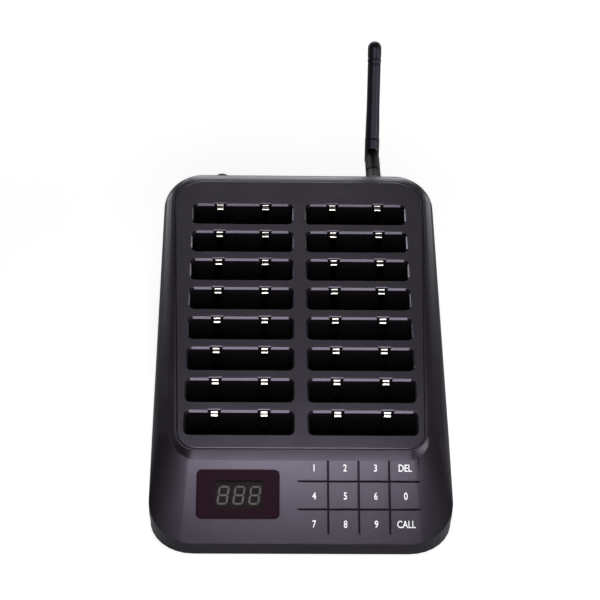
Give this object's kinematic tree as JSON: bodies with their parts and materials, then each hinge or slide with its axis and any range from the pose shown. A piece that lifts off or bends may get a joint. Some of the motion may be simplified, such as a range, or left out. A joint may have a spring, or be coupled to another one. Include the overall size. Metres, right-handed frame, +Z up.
{
  "type": "pager charging base",
  "caption": "Sloping counter-top charging base: rows of pager wells with contact springs, a touch keypad, a small digit display and a folding antenna.",
  "frame": {"origin": "on the table, under the middle of the whole outline seen from above, antenna included", "axes": "+X to the right as the user faces the keypad, +Y from the keypad towards the back wall and antenna, +Z up"},
  "size_m": [0.145, 0.2796, 0.1091],
  "materials": {
    "shell_plastic": "fine-textured satin charcoal ABS",
    "deck_plastic": "fine-textured matte charcoal ABS",
    "well_plastic": "smooth black moulding",
    "foot_rubber": "matte black pads",
    "screw_steel": "zinc-plated",
    "contact_steel": "bright nickel-plated spring strip",
    "tinted_window": "dark red-tinted acrylic, polished",
    "display_face": "black potting face",
    "digit_white": "unlit milky bars",
    "circuit_board": "green solder mask",
    "screen_can": "tin-plated can",
    "black_plastic": "fine satin",
    "jack_brass": "gold-plated thread",
    "antenna_plastic": "satin black sleeve"
  },
  "bodies": {
    "base_unit": {"base_tray": "shell_plastic", "rubber_feet": "foot_rubber", "case_screws": "screw_steel", "top_cover": "shell_plastic", "slot_deck": "deck_plastic", "well_left_1": "well_plastic", "well_left_2": "well_plastic", "well_left_3": "well_plastic", "well_left_4": "well_plastic", "well_left_5": "well_plastic", "well_left_6": "well_plastic", "well_left_7": "well_plastic", "well_left_8": "well_plastic", "well_right_1": "well_plastic", "well_right_2": "well_plastic", "well_right_3": "well_plastic", "well_right_4": "well_plastic", "well_right_5": "well_plastic", "well_right_6": "well_plastic", "well_right_7": "well_plastic", "well_right_8": "well_plastic", "contacts_left": "contact_steel", "contacts_right": "contact_steel", "display_window": "tinted_window", "display_module": "display_face", "digit_segments": "digit_white", "display_board": "circuit_board", "keypad_board": "circuit_board", "touch_springs": "contact_steel", "main_board": "circuit_board", "radio_module": "screen_can", "supply_inlet": "black_plastic", "inlet_pin": "contact_steel", "power_board": "circuit_board", "power_switch": "black_plastic", "antenna_jack": "jack_brass", "antenna_nut": "antenna_plastic"},
    "power_key": {"power_button": "black_plastic"},
    "antenna_base": {"antenna_elbow": "antenna_plastic"},
    "antenna_whip": {"antenna_fork": "antenna_plastic", "hinge_pin": "screw_steel", "antenna_tube": "antenna_plastic", "antenna_tip": "antenna_plastic"}
  },
  "joints": [
    {"name": "power_button_push", "type": "slide", "parent": "base_unit", "child": "power_key", "axis": [0, -1, 0], "range_m": [0, 0.0025], "stiffness_N_per_m": 600},
    {"name": "antenna_swivel", "type": "hinge", "parent": "base_unit", "child": "antenna_base", "pos_m": [0.042, 0.10324, 0.049], "axis": [0, 1, 0], "range_deg": [-135, 135]},
    {"name": "antenna_fold", "type": "hinge", "parent": "antenna_base", "child": "antenna_whip", "pos_m": [0.042, 0.11324, 0.049], "axis": [1, 0, 0], "range_deg": [-68, 22]}
  ]
}
